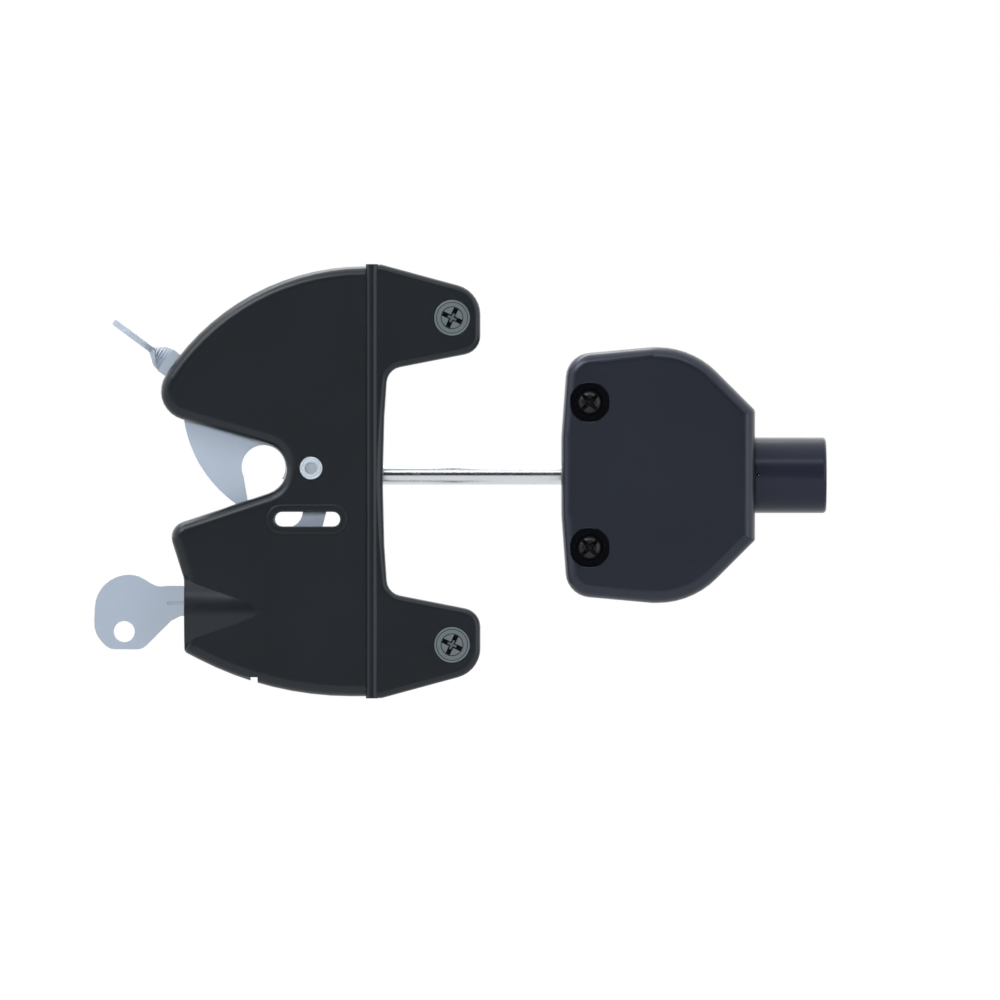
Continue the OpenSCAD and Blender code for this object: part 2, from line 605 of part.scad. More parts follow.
// Button housing: a box on the far seating face, with a flange over the near one
housing_back = rod_y + 19;
housing_left = span_w - flange_w;
half_h = housing_h / 2;
shoulder = 20.3;
housing_upper = [[housing_right, shoulder, 1.5], [housing_right - half_h + shoulder, half_h, 26],
    [span_w - 1.5, half_h, 15], [housing_left + 1.9, half_h - 2.4, 8], [housing_left, 12, 60]];
housing_outline = concat(housing_upper, [for (i = [len(housing_upper) - 1:-1:0])
    [housing_upper[i][0], -housing_upper[i][1], housing_upper[i][2]]]);
housing_screw_x = span_w - 21;
bush_out_r = button_d / 2 + 2.4;
plate_t = 2.4;
plate_screw_at = [[4.5, 30.5], [housing_back - 7, 30.5], [4.5, -30.5], [housing_back - 7, -30.5]];
plate_screw_d = 3;
plate_screw_l = 10;
plate_head = [5.6, 1.6];

module button_housing() color([0.1, 0.11, 0.14]) {
    r = housing_edge_r;
    arc = [for (i = [0:edge_steps]) 90 * i / edge_steps];
    profile = concat([for (a = arc) [r * (1 - cos(a)), -flange_t + r * (1 - sin(a))]],
        [[r + 1, -flange_t], [r + 1, housing_back]],
        [for (i = [edge_steps:-1:0]) [r * (1 - cos(arc[i])), housing_back - r * (1 - sin(arc[i]))]]);
    difference() {
        union() {
            band([for (q = profile) [for (p = points(housing_outline, q[0])) [p[0], q[1], p[1]]]]);
            plate(points(housing_outline, r + 0.5), -flange_t, housing_back);
        }
        block([0, 0, -90], [span_w, housing_back + 1, 90]);
        difference() {
            intersection() {
                plate(points(housing_outline, housing_wall), -flange_t + housing_wall, housing_back - housing_wall);
                block([span_w - 1, -flange_t, -90], [housing_right - housing_wall, housing_back, 90]);
            }
            block([span_w - 2, -flange_t, -90], [span_w + 1.5, 0.3, 90]);
            for (p = plate_screw_at) bar_x(p, 3.6, span_w + plate_t + 0.05, housing_right);
            bar_x([rod_y, 0], bush_out_r + 2, housing_right - 8, housing_right);
        }
        // moulded pockets behind the flange
        difference() {
            intersection() {
                plate(points(housing_outline, housing_wall), -flange_t + housing_wall, 1);
                block([0, -20, -90], [span_w - 3, 1, 90]);
            }
            for (z = [-1, 1]) bar_y([housing_screw_x, z * housing_pitch / 2], 8.2, -flange_t, 2);
            for (z = [-1, 0, 1])
                block([0, -flange_t, z * housing_pitch / 2 - 1], [span_w, 0, z * housing_pitch / 2 + 1]);
        }
        for (p = plate_screw_at) bar_x(p, plate_screw_d / 2 + snug, span_w, span_w + 14);
        bar_x([rod_y, 0], bush_out_r + snug, housing_right - 9, housing_right + 1);
        for (z = [-1, 1]) facing_front(housing_screw_x, -flange_t, z * housing_pitch / 2) {
            translate([0, 0, -20]) cylinder(d = housing_screw_d + 0.4, h = 30);
            translate([0, 0, -housing_sink]) cylinder(d = 12.2, h = 20);
        }
    }
}
housing_screw_d = 4.5;
housing_head_d = 7.2;
housing_screw_turn = -40;
housing_sink = 3.6;

module housing_back_plate() color([0.12, 0.13, 0.15]) difference() {
    intersection() {
        plate(points(housing_outline, housing_wall + 0.1), 0.4, housing_back - housing_wall - 0.1);
        block([span_w, 0, -90], [span_w + plate_t, housing_back, 90]);
    }
    bar_x([rod_y, 0], rod_d / 2 + 0.5, span_w - 1, span_w + 9);
    for (p = plate_screw_at) facing_left(span_w, p[0], p[1]) {
        translate([0, 0, -20]) cylinder(d = plate_screw_d + 0.3, h = 30);
        translate([0, 0, -plate_head[1]]) cylinder(d1 = plate_screw_d + 0.3, d2 = plate_head[0] + 0.3,
            h = plate_head[1] + 0.001);
    }
}

module back_plate_screws() color([0.7, 0.7, 0.72]) for (p = plate_screw_at)
    facing_left(span_w + 0.05, p[0], p[1]) screw(plate_screw_d, plate_screw_l, plate_head[0], plate_head[1],
        true, 15);

module housing_screws() color([0.12, 0.13, 0.14]) for (z = [-1, 1])
    facing_front(housing_screw_x, -flange_t + 0.9, z * housing_pitch / 2)
        screw(housing_screw_d, housing_screw_l, housing_head_d, housing_sink - 0.9, false, housing_screw_turn,
            screw_tip, flange_t - 0.9);

module button_bush() color([0.85, 0.84, 0.8]) difference() {
    bar_x([rod_y, 0], bush_out_r, housing_right - 7.7, housing_right - 0.1);
    bar_x([rod_y, 0], button_d / 2 + running, housing_right - 12, housing_right + 2);
}

// Compression spring behind the button, one turn closed at each end
spring_r = 6.6;
spring_wire_r = 0.65;
spring_turns = 6;
spring_x = [span_w + plate_t + spring_wire_r + 0.1, button_back + 4 - spring_wire_r - 0.1];
spring_closed = 1.75;
spring_pitch = (spring_x[1] - spring_x[0] - 2 * spring_closed) / (spring_turns - 2);
function spring_climb(t) = t < 1 ? spring_closed * t
    : t > spring_turns - 1 ? spring_x[1] - spring_x[0] - spring_closed * (spring_turns - t)
    : spring_closed + spring_pitch * (t - 1);
button_spring_path = [for (i = [0:spring_turns * 8])
    [spring_x[0] + spring_climb(i / 8), rod_y + spring_r * cos(45 * i), spring_r * sin(45 * i)]];
module button_spring() color([0.8, 0.81, 0.83])
    tube(button_spring_path, spring_wire_r, [1, 0, 0]);
echo(button_spring_least_gap = least_gap(button_spring_path, spring_wire_r, 5));

// Lock barrel with a groove for its clip
tail_r = 8;
clip_x = lock_block_end + 0.1;
clip_t = 1.2;
module lock_barrel() color([0.7, 0.7, 0.68]) difference() {
    union() {
        bar_x([y_mid, lock_z], barrel_d / 2, lock_face, lock_block_end - 0.2);
        bar_x([y_mid, lock_z], tail_r, lock_face, lock_end - 0.05);
    }
    bar_x([y_mid, lock_z], plug_d / 2 + running, lock_face - 1, 0);
    difference() {
        bar_x([y_mid, lock_z], 20, clip_x, clip_x + clip_t + 0.1);
        bar_x([y_mid, lock_z], tail_r - 0.8, clip_x - 1, clip_x + 3);
    }
}

module barrel_clip() color([0.75, 0.77, 0.8]) difference() {
    intersection() {
        bar_x([y_mid, lock_z], tail_r + 2.6, clip_x + 0.05, clip_x + clip_t);
        block([-60, y_mid - body_t / 2 + wall + 0.2, -90], [0, y_mid + body_t / 2 - wall - 0.2, 0]);
    }
    bar_x([y_mid, lock_z], tail_r - 0.75, clip_x - 1, clip_x + 3);
    block([clip_x - 1, y_mid - tail_r + 0.75, lock_z - 20], [clip_x + 3, y_mid + tail_r - 0.75, lock_z]);
}

// Plug: keyway along its length, a slot across it for each wafer
blade_drop = 1.6;
blade_low = lock_z - blade_drop;
wafer_t = 1;
blade_tip = lock_end - 3.8;
wafer_pitch = (blade_tip - lock_face - 4.5) / wafer_n;
wafer_w = 2.85;
wafer_half = sqrt(pow(plug_d / 2, 2) - pow(wafer_w, 2)) - 0.1;
function wafer_x(i) = lock_face + 3 + i * wafer_pitch;
module lock_plug() color([0.78, 0.7, 0.45]) difference() {
    bar_x([y_mid, lock_z], plug_d / 2, lock_face, lock_end);
    block([lock_face - 1, y_mid - key_t / 2 - slide_gap, blade_low - slide_gap],
        [blade_tip + 0.5, y_mid + key_t / 2 + slide_gap, blade_low + blade_h + slide_gap]);
    for (i = [0:wafer_n - 1]) block([wafer_x(i), y_mid - wafer_w - snug, lock_z - plug_d],
        [wafer_x(i) + wafer_t + 0.1, y_mid + wafer_w + snug, lock_z + plug_d]);
    bar_x([y_mid, lock_z], 1.25 + snug, lock_end + cam_t - cam_screw_l - 0.3, 0);
}

module lock_wafers() color([0.8, 0.72, 0.4]) for (i = [0:wafer_n - 1]) difference() {
    block([wafer_x(i) + 0.05, y_mid - wafer_w, lock_z - wafer_half],
        [wafer_x(i) + 0.05 + wafer_t, y_mid + wafer_w, lock_z + wafer_half]);
    block([wafer_x(i) - 1, y_mid - key_t / 2 - 0.3, blade_low - 0.2],
        [wafer_x(i) + wafer_t + 1, y_mid + key_t / 2 + 0.3, blade_low + blade_h + 0.2]);
}

// Cam on the plug's end, whose pin starts an eighth of a turn below the level of the axis
cam_e = bolt_rise / 2 / sin(45);
cam_pin_r = 1;
cam_t = 1.9;
cam_screw_l = 4.4;
cam_x = lock_end + 0.05;
cam_pin_at = [y_mid + cam_e * cos(-45), lock_z + cam_e * sin(-45)];
yoke_x = [cam_x + cam_t + 0.4, cam_x + cam_t + 2.2];
module lock_cam() color([0.7, 0.7, 0.72]) difference() {
    union() {
        bar_x([y_mid, lock_z], 4.9, cam_x, cam_x + cam_t);
        bar_x(cam_pin_at, cam_pin_r, cam_x, yoke_x[1] + 0.2);
    }
    bar_x([y_mid, lock_z], 1.35, cam_x - 1, cam_x + 3);
    facing_right(cam_x + cam_t, y_mid, lock_z) translate([0, 0, -1.1]) cylinder(r1 = 1.35, r2 = 1.8, h = 1.101);
}
module cam_screw() color([0.5, 0.5, 0.52])
    facing_right(cam_x + cam_t - 0.05, y_mid, lock_z) screw(2.5, cam_screw_l, 3.4, 1, true, 0);

// Bolt: the yoke round the cam's pin lifts a bar into the path of the rotor's tail
bolt_x = [-32.6, -28.6];
bolt_top = -19.8;
yoke_top = lock_z + 7;
module lock_bolt() color([0.7, 0.72, 0.75]) difference() {
    union() {
        block([bolt_x[0], rotor_front, lock_z + 5.5], [bolt_x[1], rotor_back, bolt_top]);
        block([yoke_x[0], y_mid - 5, lock_z - 5.5], [yoke_x[1], y_mid + 5.6, yoke_top]);
    }
    block([yoke_x[0] - 1, y_mid + bolt_rise / 2 - cam_pin_r - 0.25, cam_pin_at[1] - cam_pin_r - 0.2],
        [yoke_x[1] + 1, y_mid + cam_e + cam_pin_r + 0.25, cam_pin_at[1] + cam_pin_r + 0.2]);
}

// Key: bow, shank and a blade with a cut for each wafer and a groove along its side
shank_h = 9.4;
shoulder_x = lock_face - 0.3;
function by_lock(p) = [lock_face + p[0], lock_z + p[1], p[2]];
bow_outline = [for (p = [[-6.3, shank_h - blade_drop, 2], [-9.3, 7.4, 6], [-16.3, 11.8, 8.6],
    [-28.4, 9.5, 10.6], [-29, -7, 8], [-24.3, -12, 4], [-13.8, -12.1, 4], [-4.8, -3.1, 2],
    [-1.8, -blade_drop, 2]]) by_lock(p)];
cut_depth = [0.9, 1.7, 0.6, 1.4, 1.1, 0.8];
key_cuts = [for (i = [0:wafer_n - 1], p = [[-0.394, 0], [-0.12, 1], [0.12, 1], [0.394, 0]])
    [wafer_x(i) + wafer_t / 2 + p[0] * wafer_pitch, blade_low + p[1] * cut_depth[i], 0]];
key_tip = [[blade_tip - 2, blade_low, 0], [blade_tip, blade_low + 2.2, 0], [blade_tip, blade_low + 3, 0],
    [blade_tip - 2, blade_low + blade_h, 0]];
module key() color([0.68, 0.72, 0.77]) difference() {
    plate(points(concat([[shoulder_x, blade_low + blade_h, 0], [shoulder_x, blade_low + shank_h, 0.8]],
        bow_outline, key_cuts, key_tip)), y_mid - key_t / 2, y_mid + key_t / 2);
    bar_y(by_lock([-19.5, -6.5, 0]), 3.3, y_mid - 5, y_mid + 5);
    block([lock_face - 6, y_mid - 3, blade_low + 3.4], [0, y_mid - key_t / 2 + 0.5, blade_low + 4.4]);
}

mounting_bracket();
front_casing();
rear_casing();
bracket_screws();
casing_screws();
flange_screws();
pivot_pin();
rotor();
rotor_bush();
rotor_spring();
release_slide();
push_rod();
push_button();
button_retainer();
rod_set_screw();
button_housing();
housing_back_plate();
back_plate_screws();
housing_screws();
button_bush();
button_spring();
lock_barrel();
barrel_clip();
lock_plug();
lock_wafers();
lock_cam();
cam_screw();
key();
lock_bolt();
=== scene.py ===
import json
import math
import bpy
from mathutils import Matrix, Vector

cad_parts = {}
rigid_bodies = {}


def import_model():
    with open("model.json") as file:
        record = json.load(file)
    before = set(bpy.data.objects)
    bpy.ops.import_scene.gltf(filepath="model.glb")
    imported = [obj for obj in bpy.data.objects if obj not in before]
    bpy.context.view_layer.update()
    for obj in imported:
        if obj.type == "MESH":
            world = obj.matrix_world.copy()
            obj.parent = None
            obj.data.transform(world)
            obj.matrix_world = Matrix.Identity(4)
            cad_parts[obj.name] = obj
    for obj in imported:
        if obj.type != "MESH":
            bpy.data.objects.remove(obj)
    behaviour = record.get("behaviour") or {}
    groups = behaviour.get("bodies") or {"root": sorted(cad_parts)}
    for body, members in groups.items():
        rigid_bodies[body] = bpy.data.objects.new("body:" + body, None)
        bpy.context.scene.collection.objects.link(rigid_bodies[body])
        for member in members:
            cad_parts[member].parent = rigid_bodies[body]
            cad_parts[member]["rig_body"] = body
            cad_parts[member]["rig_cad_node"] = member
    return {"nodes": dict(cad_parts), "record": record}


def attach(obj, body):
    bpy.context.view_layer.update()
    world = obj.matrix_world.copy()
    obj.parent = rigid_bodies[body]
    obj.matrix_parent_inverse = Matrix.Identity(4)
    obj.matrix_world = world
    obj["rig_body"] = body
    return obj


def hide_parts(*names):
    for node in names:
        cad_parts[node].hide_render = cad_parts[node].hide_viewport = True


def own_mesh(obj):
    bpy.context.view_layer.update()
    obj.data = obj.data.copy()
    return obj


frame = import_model()
nodes = frame["nodes"]
nodeSlots = {s["node"]: s["material_slot"] for s in frame["record"]["subparts"]}
nodeBodies = {n: b for b, members in frame["record"]["behaviour"]["bodies"].items() for n in members}
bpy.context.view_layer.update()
bpy.ops.object.select_all(action="DESELECT")
print("frame loaded:", len(nodes), "pieces")

mm = 0.001


def metres(*values):
    return tuple(value * mm for value in values)


def radians(*angles):
    return tuple(math.radians(angle) for angle in angles)


# The view: a long lens, square on to the front of the casings
view = {
    "lens": 500,
    "sensor": 36,
    "widthMm": 312.5,      # what the picture shows across, at the front of the casings
    "centreX": 40.0,
    "centreZ": -7.8,
    "frontY": -4.0,
    "nearestM": 0.01,
    "farthestM": 50,
}


def setCamera():
    distance = view["widthMm"] * view["lens"] / view["sensor"]
    place = metres(view["centreX"], view["frontY"] - distance, view["centreZ"])
    bpy.ops.object.camera_add(location=place, rotation=radians(90, 0, 0))
    camera = bpy.context.object
    camera.name = "photoCamera"
    camera.data.lens = view["lens"]
    camera.data.sensor_width = view["sensor"]
    camera.data.clip_start = view["nearestM"]
    camera.data.clip_end = view["farthestM"]
    bpy.context.scene.camera = camera


# Shader maths: a wire is one output, and sums and products of wires add their Math nodes
class Wire:
    def __init__(self, graph, socket):
        self.graph = graph
        self.socket = socket

    def __add__(self, other):
        return self.graph.maths("ADD", self, other)

    def __radd__(self, other):
        return self.graph.maths("ADD", other, self)

    def __mul__(self, other):
        return self.graph.maths("MULTIPLY", self, other)

    def __rmul__(self, other):
        return self.graph.maths("MULTIPLY", other, self)


# The nodes of one material, or of the world
class Graph:
    def __init__(self, owner):
        owner.use_nodes = True
        self.tree = owner.node_tree

    def plug(self, socket, value):
        if isinstance(value, Wire):
            self.tree.links.new(value.socket, socket)
        else:
            socket.default_value = value

    def node(self, kind, settings=None, sockets=None, out=0):
        made = self.tree.nodes.new("ShaderNode" + kind)
        for name, value in (settings or {}).items():
            if name == "stops":
                ramp = made.color_ramp.elements
                while len(ramp) < len(value):
                    ramp.new(0.5)
                for element, (place, shade) in zip(ramp, value):
                    element.position = place
                    element.color = (shade, shade, shade, 1)
            else:
                setattr(made, name, value)
        for name, value in (sockets or {}).items():
            self.plug(made.inputs[name], value)
        return Wire(self, made.outputs[out])

    def maths(self, operation, first, second):
        return self.node("Math", {"operation": operation}, {0: first, 1: second})

    def ramp(self, wire, stops):
        return self.node("ValToRGB", {"stops": stops}, {"Fac": wire})

    def rays(self, kind):
        return self.node("LightPath", out="Is " + kind + " Ray")


# A finish: the graph of one material, with the sockets of its shader under short names
shaderSockets = {"base": "Base Color", "rough": "Roughness", "metal": "Metallic",
                 "level": "Specular IOR Level", "tint": "Specular Tint"}


class Coat(Graph):
    def __init__(self, name):
        self.material = bpy.data.materials.new(name)
        super().__init__(self.material)
        self.shader = self.tree.nodes["Principled BSDF"]

    def noise(self, sizeMm, detail, rough=0.5, stretch=(1, 1, 1), turn=(0, 0, 0)):
        here = self.node("TexCoord", out="Object")
        placed = self.node("Mapping", {}, {"Vector": here, "Rotation": radians(*turn), "Scale": stretch})
        sockets = {"Vector": placed, "Scale": 1 / (sizeMm * mm), "Detail": detail, "Roughness": rough}
        return self.node("TexNoise", {}, sockets)

    def blend(self, mask, dark, light):
        colours = {0: mask, 6: (*dark, 1), 7: (*light, 1)}     # the Mix node's factor and its two colours
        return self.node("Mix", {"data_type": "RGBA"}, colours, out=2)

    def bump(self, height, depthMm):
        self.plug(self.shader.inputs["Normal"],
                  self.node("Bump", {}, {"Height": height, "Distance": depthMm * mm}))

    def finish(self, **values):
        for name, value in values.items():
            value = (*value, 1) if isinstance(value, tuple) else value
            self.plug(self.shader.inputs[shaderSockets[name]], value)
        return self.material


# Moulded plastics: a spark-eroded grain, slow clouding of the gloss, and finer scuffs that dull it
plastics = {
    "casing": {"dark": (0.0052, 0.0066, 0.0080), "light": (0.0076, 0.0096, 0.0116),
               "rough": 0.29, "spread": 0.06, "grainMm": 0.34, "grainDepth": 0.004, "level": 0.33,
               "tint": (0.84, 0.91, 1.0)},
    "housing": {"dark": (0.0070, 0.0080, 0.0125), "light": (0.0100, 0.0116, 0.0175),
                "rough": 0.30, "spread": 0.08, "grainMm": 0.30, "grainDepth": 0.005, "level": 0.44,
                "tint": (0.74, 0.82, 1.0)},
    "button": {"dark": (0.0100, 0.0110, 0.0185), "light": (0.0130, 0.0142, 0.0235),
               "rough": 0.24, "spread": 0.06, "grainMm": 0.22, "grainDepth": 0.002, "level": 0.20,
               "tint": (0.72, 0.82, 1.0)},
    # Painted shade: the walls of the screw bores are coloured near black for the shade that falls in them
    "boreWall": {"dark": (0.0012, 0.0013, 0.0020), "light": (0.0022, 0.0024, 0.0036),
                 "rough": 0.22, "spread": 0.05, "grainMm": 0.50, "grainDepth": 0.001, "level": 0.15,
                 "tint": (0.74, 0.82, 1.0)},
    "acetal": {"dark": (0.66, 0.65, 0.61), "light": (0.74, 0.73, 0.69),
               "rough": 0.38, "spread": 0.08, "grainMm": 0.40, "grainDepth": 0.004, "level": 0.45,
               "tint": (1.0, 1.0, 1.0)},
}
plasticWear = {
    "clouds": {"sizeMm": 26, "detail": 3.0},
    "grain": {"detail": 2.5, "rough": 0.62},
    "scuffs": {"sizeMm": 3.2, "detail": 6.0, "rough": 0.7, "stretch": (1, 1, 0.25), "turn": (0, 24, 0)},
    "scuffMask": [(0.50, 0.0), (0.80, 1.0)],
    "scuffDull": 0.04,
    "cloudShare": 0.7,
}


def mouldedPlastic(name):
    look = plastics[name]
    wear = plasticWear
    coat = Coat(name + "Plastic")
    clouds = coat.noise(**wear["clouds"])
    grain = coat.noise(look["grainMm"], **wear["grain"])
    scuffs = coat.ramp(coat.noise(**wear["scuffs"]), wear["scuffMask"])
    tone = clouds * wear["cloudShare"] + grain * (1 - wear["cloudShare"])
    gloss = clouds * look["spread"] + scuffs * wear["scuffDull"] + (look["rough"] - look["spread"] / 2)
    coat.bump(grain, look["grainDepth"])
    return coat.finish(base=coat.blend(tone, look["dark"], look["light"]), rough=gloss,
                       level=look["level"], tint=look["tint"])


# Metals: two tones, how much of them is mirror, and the grain, which lies one way where it is stretched
plainMetal = {"stretch": (1, 1, 1), "turn": (0, 0, 0), "depth": 0, "level": 0.5}
metals = {
    "rotorSteel": {"dark": (0.26, 0.30, 0.36), "light": (0.29, 0.34, 0.41), "metal": 0.10,
                   "rough": 0.46, "grainMm": 4.0, "stretch": (4, 1, 0.4), "turn": (0, 28, 0)},
    "keySteel": {"dark": (0.25, 0.29, 0.35), "light": (0.28, 0.33, 0.40), "metal": 0.15,
                 "rough": 0.42, "grainMm": 3.0, "stretch": (0.4, 1, 4)},
    "rivetSteel": {"dark": (0.40, 0.46, 0.52), "light": (0.50, 0.56, 0.62), "metal": 0.40,
                   "rough": 0.26, "grainMm": 0.6, "depth": 0.001},
    "turnedSteel": {"dark": (0.52, 0.54, 0.57), "light": (0.66, 0.68, 0.71), "metal": 1.0,
                    "rough": 0.24, "grainMm": 1.2, "stretch": (8, 0.6, 0.6), "depth": 0.002},
    "zincPlate": {"dark": (0.50, 0.52, 0.54), "light": (0.62, 0.64, 0.67), "metal": 1.0,
                  "rough": 0.30, "grainMm": 0.8, "depth": 0.002},
    "greyScrew": {"dark": (0.080, 0.098, 0.108), "light": (0.125, 0.150, 0.162), "metal": 0.30,
                  "rough": 0.34, "grainMm": 0.5, "depth": 0.002},
    "deepBlackScrew": {"dark": (0.003, 0.003, 0.004), "light": (0.006, 0.006, 0.008), "metal": 0.1,
                       "rough": 0.30, "grainMm": 0.5, "depth": 0.002, "level": 0.30},
    # Painted shade: near black for the walls of the screws' crosses, where shade falls in the recess
    "paintedCrossShade": {"dark": (0.0015, 0.0015, 0.0020), "light": (0.0030, 0.0030, 0.0040), "metal": 0.0,
                   "rough": 0.55, "grainMm": 0.5, "level": 0.15},
    "blackScrew": {"dark": (0.018, 0.020, 0.022), "light": (0.042, 0.046, 0.050), "metal": 0.55,
                   "rough": 0.36, "grainMm": 0.5, "depth": 0.003},
    "springWire": {"dark": (0.42, 0.43, 0.45), "light": (0.58, 0.59, 0.61), "metal": 1.0,
                   "rough": 0.30, "grainMm": 0.5, "depth": 0.002},
    "bronze": {"dark": (0.42, 0.27, 0.12), "light": (0.56, 0.38, 0.18), "metal": 1.0,
               "rough": 0.44, "grainMm": 0.3, "depth": 0.006},
    "castZinc": {"dark": (0.40, 0.40, 0.40), "light": (0.54, 0.54, 0.53), "metal": 0.9,
                 "rough": 0.46, "grainMm": 0.45, "depth": 0.008},
    "brass": {"dark": (0.50, 0.37, 0.14), "light": (0.64, 0.50, 0.23), "metal": 1.0,
              "rough": 0.28, "grainMm": 1.0, "stretch": (8, 0.8, 0.8), "depth": 0.002},
}
metalWear = {
    "clouds": {"sizeMm": 14, "detail": 2.0},
    "grain": {"detail": 5.0, "rough": 0.65},
    "handled": {"sizeMm": 6, "detail": 5.0, "rough": 0.6},
    "handledMask": [(0.50, 0.0), (0.72, 1.0)],
    "handledDull": 0.08,
    "grainShare": 0.6,
    "grainDull": 0.12,
}


def grainedMetal(name):
    look = {**plainMetal, **metals[name]}
    wear = metalWear
    coat = Coat(name)
    grain = coat.noise(look["grainMm"], **wear["grain"], stretch=look["stretch"], turn=look["turn"])
    clouds = coat.noise(**wear["clouds"])
    handled = coat.ramp(coat.noise(**wear["handled"]), wear["handledMask"])
    tone = grain * wear["grainShare"] + clouds * (1 - wear["grainShare"])
    gloss = grain * wear["grainDull"] + handled * wear["handledDull"]
    gloss = gloss + (look["rough"] - wear["handledDull"])
    if look["depth"] > 0:
        coat.bump(grain, look["depth"])
    return coat.finish(base=coat.blend(tone, look["dark"], look["light"]), rough=gloss,
                       metal=look["metal"], level=look["level"])


# One finish for each slot, then those of single pieces, and the painted shade of the screws' crosses and of
# the screw bores
finishes = {
    "casing_plastic": mouldedPlastic("casing"),
    "housing_plastic": mouldedPlastic("housing"),
    "button_plastic": mouldedPlastic("button"),
    "acetal": mouldedPlastic("acetal"),
    "rotor_steel": grainedMetal("rotorSteel"),
    "key_steel": grainedMetal("keySteel"),
    "rivet_steel": grainedMetal("turnedSteel"),
    "zinc_plate": grainedMetal("zincPlate"),
    "black_screw": grainedMetal("blackScrew"),
    "spring_wire": grainedMetal("springWire"),
    "bush_bronze": grainedMetal("bronze"),
    "lock_zinc": grainedMetal("castZinc"),
    "lock_brass": grainedMetal("brass"),
    "pivot_pin": grainedMetal("rivetSteel"),
    "flange_screws": grainedMetal("greyScrew"),
    "housing_screws": grainedMetal("deepBlackScrew"),
    "painted_cross_shade": grainedMetal("paintedCrossShade"),
    "painted_bore_shade": mouldedPlastic("boreWall"),
}
print("finishes made:", len(finishes))


# Each piece takes its slot's finish, unless it has one of its own
def paint(piece, nodeName):
    piece.data.materials.clear()
    piece.data.materials.append(finishes.get(nodeName) or finishes[nodeSlots[nodeName]])


for nodeName, piece in nodes.items():
    paint(piece, nodeName)


# Small steps of work that every piece below is made with
mergeMm = 0.002


def pick(piece):
    bpy.ops.object.select_all(action="DESELECT")
    piece.select_set(True)
    bpy.context.view_layer.objects.active = piece


def editAll():
    bpy.ops.object.mode_set(mode="EDIT")
    bpy.ops.mesh.select_all(action="SELECT")


def leaveEdit():
    bpy.ops.object.mode_set(mode="OBJECT")


# Edit mode with only the wanted vertices selected, which are chosen in object mode
def editVertices(piece, wanted):
    pick(piece)
    bpy.ops.object.mode_set(mode="EDIT")
    bpy.ops.mesh.select_mode(type="VERT")
    bpy.ops.mesh.select_all(action="DESELECT")
    leaveEdit()
    for vertex in piece.data.vertices:
        vertex.select = wanted(vertex)
    bpy.ops.object.mode_set(mode="EDIT")


def applyModifier(piece, kind, **settings):
    bpy.context.view_layer.objects.active = piece
    modifier = piece.modifiers.new(kind.lower(), kind)
    for name, value in settings.items():
        setattr(modifier, name, value)
    bpy.ops.object.modifier_apply(modifier=modifier.name)


def cut(piece, cutter):
    applyModifier(piece, "BOOLEAN", operation="DIFFERENCE", solver="EXACT", object=cutter)
    bpy.data.objects.remove(cutter)


def joinAll(pieces, name):
    pick(pieces[0])
    for piece in pieces:
        piece.select_set(True)
    bpy.ops.object.join()
    pieces[0].name = name
    return pieces[0]


def smoothOver(piece, degrees):
    pick(piece)
    bpy.ops.object.shade_smooth_by_angle(angle=math.radians(degrees))


def standFor(piece, nodeName):
    paint(piece, nodeName)
    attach(piece, nodeBodies[nodeName])
    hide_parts(nodeName)


def copyOf(nodeName, pieceName):
    pick(nodes[nodeName])
    bpy.ops.object.duplicate()
    piece = bpy.context.object
    bpy.ops.object.parent_clear(type="CLEAR_KEEP_TRANSFORM")
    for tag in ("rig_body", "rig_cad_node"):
        if tag in piece:
            del piece[tag]
    piece.name = pieceName
    editAll()
    bpy.ops.mesh.remove_doubles(threshold=mergeMm * mm)
    bpy.ops.mesh.dissolve_degenerate(threshold=mergeMm * mm)
    leaveEdit()
    bpy.ops.mesh.customdata_custom_splitnormals_clear()
    return piece


# The low and the high corner of each solid of a node, in metres
def solidBoxes(nodeName):
    copyOf(nodeName, "measured")
    editAll()
    bpy.ops.mesh.separate(type="LOOSE")
    leaveEdit()
    boxes = []
    for solid in list(bpy.context.selected_objects):
        points = [v.co for v in solid.data.vertices]
        boxes.append([[end(point[axis] for point in points) for axis in range(3)] for end in (min, max)])
        bpy.data.objects.remove(solid)
    return boxes


# The same box above and below the middle, from its x and y limits and the z limits of the upper one
def mirroredBoxes(across, along, up):
    return [(across, along, up), (across, along, (-up[1], -up[0]))]


def within(point, boxes):
    return any(all(low <= value / mm <= high for value, (low, high) in zip(point, box)) for box in boxes)
